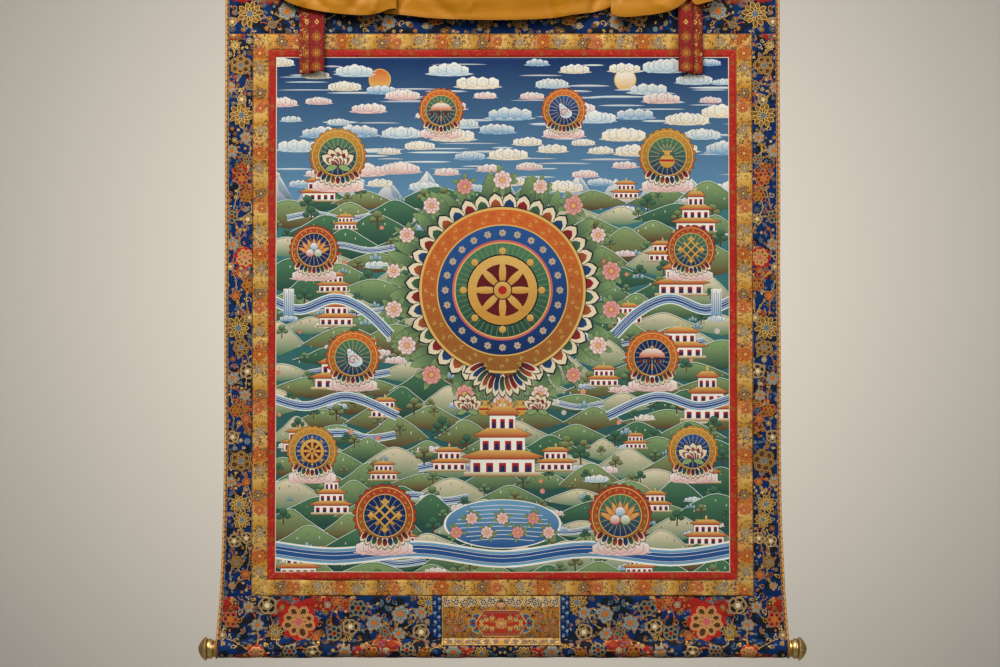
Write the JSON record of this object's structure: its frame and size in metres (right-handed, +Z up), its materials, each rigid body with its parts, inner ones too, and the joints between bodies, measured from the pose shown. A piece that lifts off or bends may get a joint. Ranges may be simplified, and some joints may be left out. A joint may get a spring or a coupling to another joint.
{
  "type": "thangka scroll painting",
  "caption": "Hanging scroll with a painted canvas in nested brocade borders, side bindings, hanging ribbons, a gathered silk veil and a rolled lower hem with round brass knobs.",
  "frame": {"origin": "the middle of the top edge, on the back of the cloth, where it hangs", "axes": "+Z up along the cloth, +X to the viewer's right, the painted face looks along -Y"},
  "size_m": [0.8684, 0.0382, 1.0065],
  "materials": {
    "painted_canvas": "matte painted canvas",
    "red_brocade": "satin brocade",
    "gold_brocade": "satin brocade",
    "blue_brocade": "satin brocade",
    "orange_binding": "satin piping",
    "ribbon_brocade": "satin brocade",
    "veil_silk": "soft silk",
    "knob_brass": "aged polished brass"
  },
  "bodies": {
    "root": {"painting": "painted_canvas", "red_border_top": "red_brocade", "red_border_bottom": "red_brocade", "red_border_left": "red_brocade", "red_border_right": "red_brocade", "gold_border_top": "gold_brocade", "gold_border_bottom": "gold_brocade", "gold_border_left": "gold_brocade", "gold_border_right": "gold_brocade", "blue_panel_top": "blue_brocade", "blue_panel_left": "blue_brocade", "blue_panel_right": "blue_brocade", "blue_panel_bottom": "blue_brocade", "door_patch": "gold_brocade", "door_strip_left": "blue_brocade", "door_strip_right": "blue_brocade", "side_binding_left": "orange_binding", "side_binding_right": "orange_binding", "ribbon_left_back": "ribbon_brocade", "ribbon_left_front": "ribbon_brocade", "ribbon_right_back": "ribbon_brocade", "ribbon_right_front": "ribbon_brocade", "veil": "veil_silk", "knob_left": "knob_brass", "knob_right": "knob_brass"}
  },
  "joints": []
}
